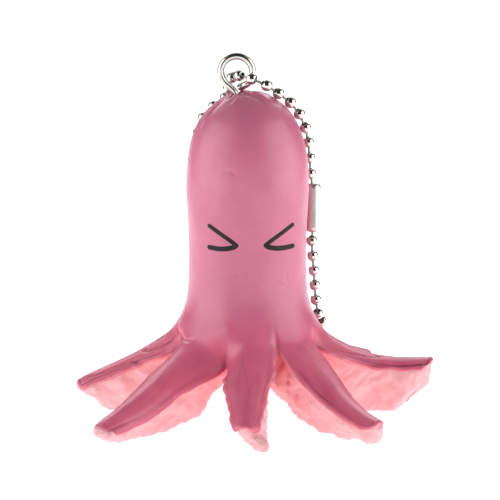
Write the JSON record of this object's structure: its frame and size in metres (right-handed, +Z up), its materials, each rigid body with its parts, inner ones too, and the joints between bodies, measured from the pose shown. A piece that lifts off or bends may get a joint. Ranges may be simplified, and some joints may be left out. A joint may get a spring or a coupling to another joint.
{
  "type": "octopus charm",
  "caption": "Squeeze-foam octopus with eight splayed legs, printed closed eyes, and a ball chain loop through a screw eye in its head.",
  "frame": {"origin": "on the table, at the centre of the footprint of the eight legs", "axes": "+Z up the body towards the screw eye, -Y towards the printed face, +X to the face's right as seen from in front"},
  "size_m": [0.0734, 0.0686, 0.0742],
  "materials": {
    "pale_foam": "matte",
    "pink_skin": "satin",
    "black_ink": "matte",
    "white_plastic": "matte",
    "nickel_wire": "polished",
    "nickel_sheet": "polished",
    "nickel_pins": "polished",
    "nickel_balls": "polished"
  },
  "bodies": {
    "octopus": {"foam_core": "pale_foam", "skin": "pink_skin", "eye_prints": "black_ink", "anchor_plug": "white_plastic", "screw_eye": "nickel_wire"},
    "chain_top": {"ball_08": "nickel_balls", "ball_09": "nickel_balls", "ball_10": "nickel_balls", "ball_11": "nickel_balls", "ball_12": "nickel_balls", "ball_13": "nickel_balls", "ball_14": "nickel_balls", "link_pins_1": "nickel_pins"},
    "chain_shoulder": {"ball_05": "nickel_balls", "ball_06": "nickel_balls", "ball_07": "nickel_balls", "ball_15": "nickel_balls", "ball_16": "nickel_balls", "ball_17": "nickel_balls", "link_pins_2": "nickel_pins"},
    "chain_upper": {"ball_02": "nickel_balls", "ball_03": "nickel_balls", "ball_04": "nickel_balls", "ball_18": "nickel_balls", "ball_19": "nickel_balls", "ball_20": "nickel_balls", "link_pins_3": "nickel_pins"},
    "chain_middle": {"ball_01": "nickel_balls", "ball_46": "nickel_balls", "ball_45": "nickel_balls", "ball_21": "nickel_balls", "ball_22": "nickel_balls", "ball_23": "nickel_balls", "ball_24": "nickel_balls", "link_pins_4": "nickel_pins"},
    "chain_lower": {"ball_44": "nickel_balls", "ball_43": "nickel_balls", "ball_42": "nickel_balls", "ball_25": "nickel_balls", "ball_26": "nickel_balls", "ball_27": "nickel_balls", "link_pins_5": "nickel_pins"},
    "chain_corner": {"ball_41": "nickel_balls", "ball_40": "nickel_balls", "ball_39": "nickel_balls", "ball_38": "nickel_balls", "ball_28": "nickel_balls", "ball_29": "nickel_balls", "ball_30": "nickel_balls", "ball_31": "nickel_balls", "link_pins_6": "nickel_pins"},
    "chain_base": {"ball_37": "nickel_balls", "ball_36": "nickel_balls", "ball_32": "nickel_balls", "ball_33": "nickel_balls", "link_pins_7": "nickel_pins"},
    "chain_end": {"ball_35": "nickel_balls", "ball_34": "nickel_balls", "link_pins_8": "nickel_pins"},
    "connector_sleeve": {"connector": "nickel_sheet"}
  },
  "joints": [
    {"name": "chain_swing", "type": "hinge", "parent": "octopus", "child": "chain_top", "pos_m": [-0.0029, -0.0001, 0.0696], "axis": [0.6131, -0.7888, 0.0439], "range_deg": [0, 180]},
    {"name": "chain_fold_1", "type": "hinge", "parent": "chain_top", "child": "chain_shoulder", "pos_m": [-0.00574, 0.00745, 0.06425], "axis": [0.8038, -0.5806, 0.1295], "range_deg": [0, 10]},
    {"name": "chain_fold_2", "type": "hinge", "parent": "chain_shoulder", "child": "chain_upper", "pos_m": [-0.01141, 0.0097, 0.05671], "axis": [0.9538, -0.2894, 0.0802], "range_deg": [0, 10]},
    {"name": "chain_fold_3", "type": "hinge", "parent": "chain_upper", "child": "chain_middle", "pos_m": [-0.01162, 0.0094, 0.04667], "axis": [0.9779, -0.189, 0.0897], "range_deg": [0, 10]},
    {"name": "chain_fold_4", "type": "hinge", "parent": "chain_middle", "child": "chain_lower", "pos_m": [-0.01137, 0.00898, 0.03328], "axis": [0.9829, -0.1737, 0.0609], "range_deg": [0, 10]},
    {"name": "chain_fold_5", "type": "hinge", "parent": "chain_lower", "child": "chain_corner", "pos_m": [-0.01251, 0.00921, 0.02333], "axis": [0.9941, -0.0879, 0.0633], "range_deg": [0, 10]},
    {"name": "chain_fold_6", "type": "hinge", "parent": "chain_corner", "child": "chain_base", "pos_m": [-0.00801, 0.0176, 0.017], "axis": [0.9872, -0.1515, -0.0509], "range_deg": [0, 10]},
    {"name": "chain_fold_7", "type": "hinge", "parent": "chain_base", "child": "chain_end", "pos_m": [-0.00151, 0.01898, 0.01771], "axis": [0.9894, -0.1441, -0.0186], "range_deg": [0, 10]},
    {"name": "connector_turn", "type": "hinge", "parent": "chain_middle", "child": "connector_sleeve", "pos_m": [0.01229, 0.00466, 0.04177], "axis": [-0.0031, 0.0942, 0.9955], "continuous": true}
  ]
}
